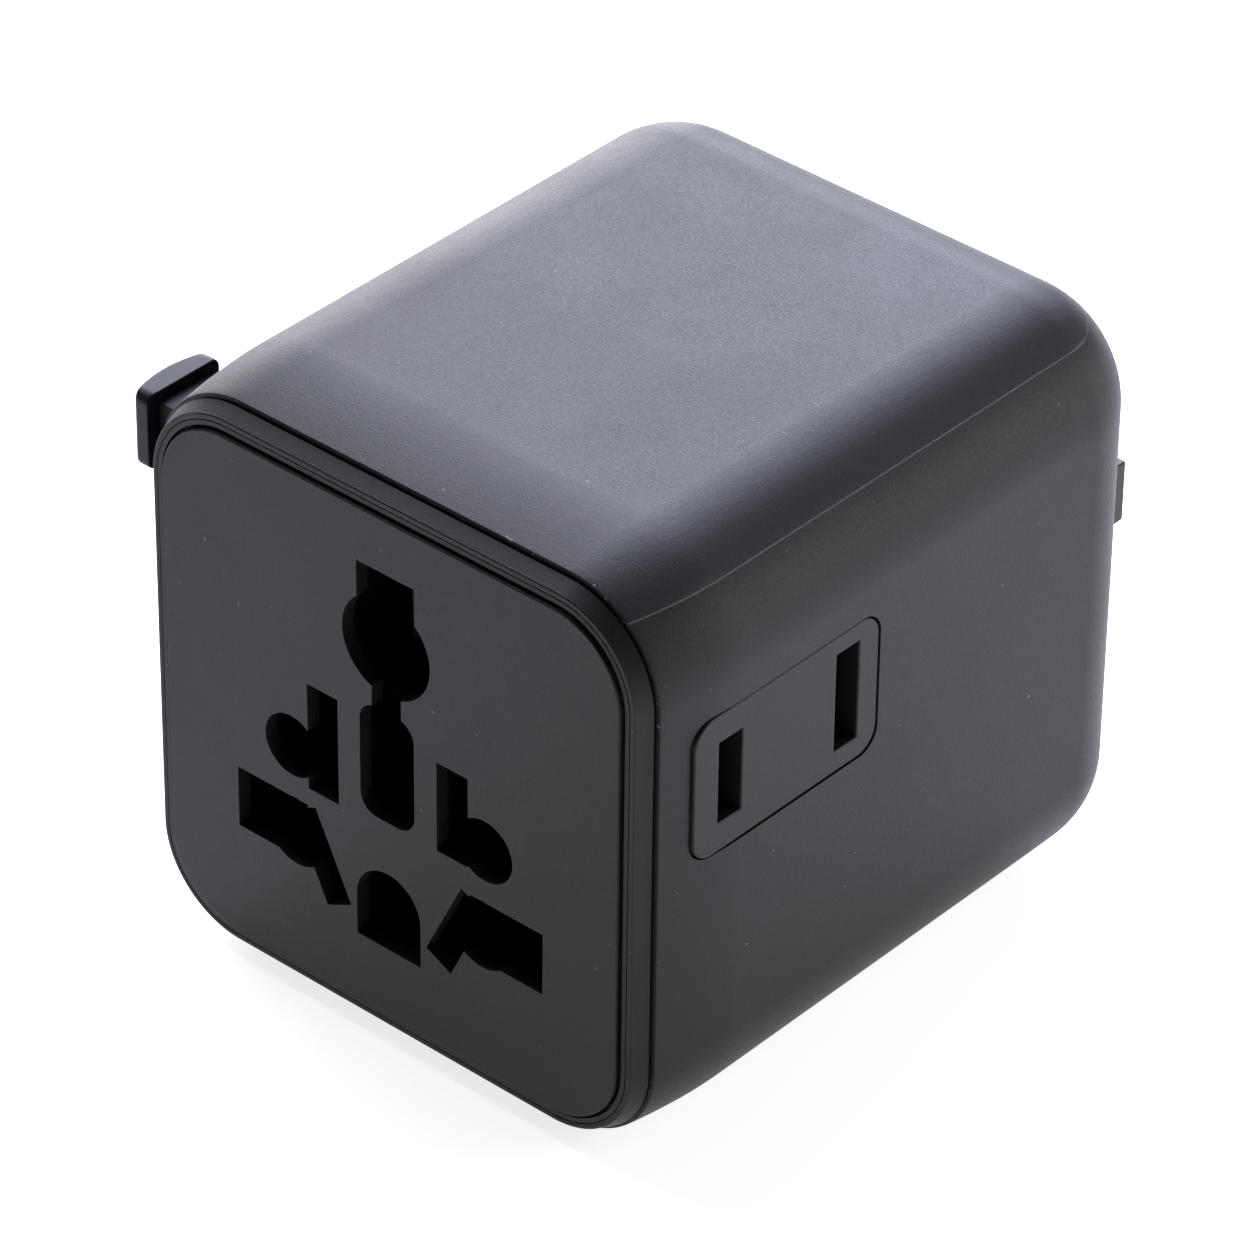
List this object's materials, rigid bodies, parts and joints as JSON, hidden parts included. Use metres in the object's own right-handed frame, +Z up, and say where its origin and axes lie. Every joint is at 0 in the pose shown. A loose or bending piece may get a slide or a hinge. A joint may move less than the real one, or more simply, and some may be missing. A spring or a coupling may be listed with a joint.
{
  "type": "universal travel adapter",
  "caption": "Block-shaped mains travel adapter with a multi-standard socket face, a side outlet, a plug selector knob and retracting plug pins.",
  "frame": {"origin": "middle of the flat bottom face that the adapter rests on", "axes": "+X to the right seen from the socket face, +Y from the socket face towards the plug pins, +Z up"},
  "size_m": [0.0545, 0.0587, 0.0498],
  "materials": {
    "plate": "fine matt moulded grain, charcoal",
    "shell": "fine matt moulded grain, charcoal",
    "carrier": "plain black moulding",
    "insert": "fine matt moulded grain, charcoal",
    "slider": "satin black moulding",
    "knob": "matt charcoal, slightly polished edges",
    "sleeve": "black insulating sleeve",
    "drawer": "satin black moulding",
    "brass": "stamped strip, satin",
    "plated_brass": "nickel plated, brushed",
    "steel": "bright drawn",
    "ceramic_fuse": "unglazed ceramic tube with plated end caps"
  },
  "bodies": {
    "casing": {"chassis": "carrier", "chassis_screws": "steel", "contact_carrier": "carrier", "earth_bus": "brass", "earth_contact": "brass", "front_frame": "shell", "fuse_clip": "brass", "guide_rods": "steel", "line_bus": "brass", "line_contact": "brass", "main_shell": "shell", "neutral_bus": "brass", "neutral_contact": "brass", "rear_cover": "shell", "side_contact_holder": "carrier", "side_line_contact": "brass", "side_neutral_contact": "brass", "side_outlet_insert": "insert", "socket_plate": "plate", "top_shell": "shell"},
    "uk_plug": {"uk_carriage": "slider", "uk_neutral_pin": "plated_brass", "uk_line_pin": "plated_brass", "uk_earth_pin": "plated_brass", "uk_pin_sleeves": "sleeve"},
    "eu_plug": {"eu_carriage": "slider", "eu_left_pin": "plated_brass", "eu_right_pin": "plated_brass", "eu_pin_sleeves": "sleeve"},
    "us_plug": {"us_carriage": "slider"},
    "us_left": {"us_left_blade": "plated_brass"},
    "us_right": {"us_right_blade": "plated_brass"},
    "selector": {"pusher": "slider", "detent_spring": "steel"},
    "knob": {"knob_cap": "knob", "knob_stem": "slider"},
    "fuse_holder": {"fuse_drawer": "drawer", "fuse": "ceramic_fuse"}
  },
  "joints": [
    {"name": "selector_slide", "type": "slide", "parent": "casing", "child": "selector", "axis": [0, 1, 0], "range_m": [0, 0.0182]},
    {"name": "knob_lane", "type": "slide", "parent": "selector", "child": "knob", "axis": [0, 0, -1], "range_m": [0, 0.0222]},
    {"name": "uk_slide", "type": "slide", "parent": "casing", "child": "uk_plug", "axis": [0, 1, 0], "range_m": [0, 0.0182]},
    {"name": "eu_slide", "type": "slide", "parent": "casing", "child": "eu_plug", "axis": [0, 1, 0], "range_m": [0, 0.0182]},
    {"name": "us_slide", "type": "slide", "parent": "casing", "child": "us_plug", "axis": [0, 1, 0], "range_m": [0, 0.0182]},
    {"name": "left_blade_turn", "type": "hinge", "parent": "us_plug", "child": "us_left", "pos_m": [-0.00635, 0.00825, 0.0209], "axis": [0, -1, 0], "range_deg": [0, 30]},
    {"name": "right_blade_turn", "type": "hinge", "parent": "us_plug", "child": "us_right", "pos_m": [0.00635, 0.00825, 0.0209], "axis": [0, 1, 0], "range_deg": [0, 30]},
    {"name": "fuse_slide", "type": "slide", "parent": "casing", "child": "fuse_holder", "axis": [0, 1, 0], "range_m": [0, 0.022]}
  ],
  "couplings": [
    {"joint": "uk_slide", "follows": "selector_slide", "ratio": 1},
    {"joint": "right_blade_turn", "follows": "left_blade_turn", "ratio": 1}
  ]
}
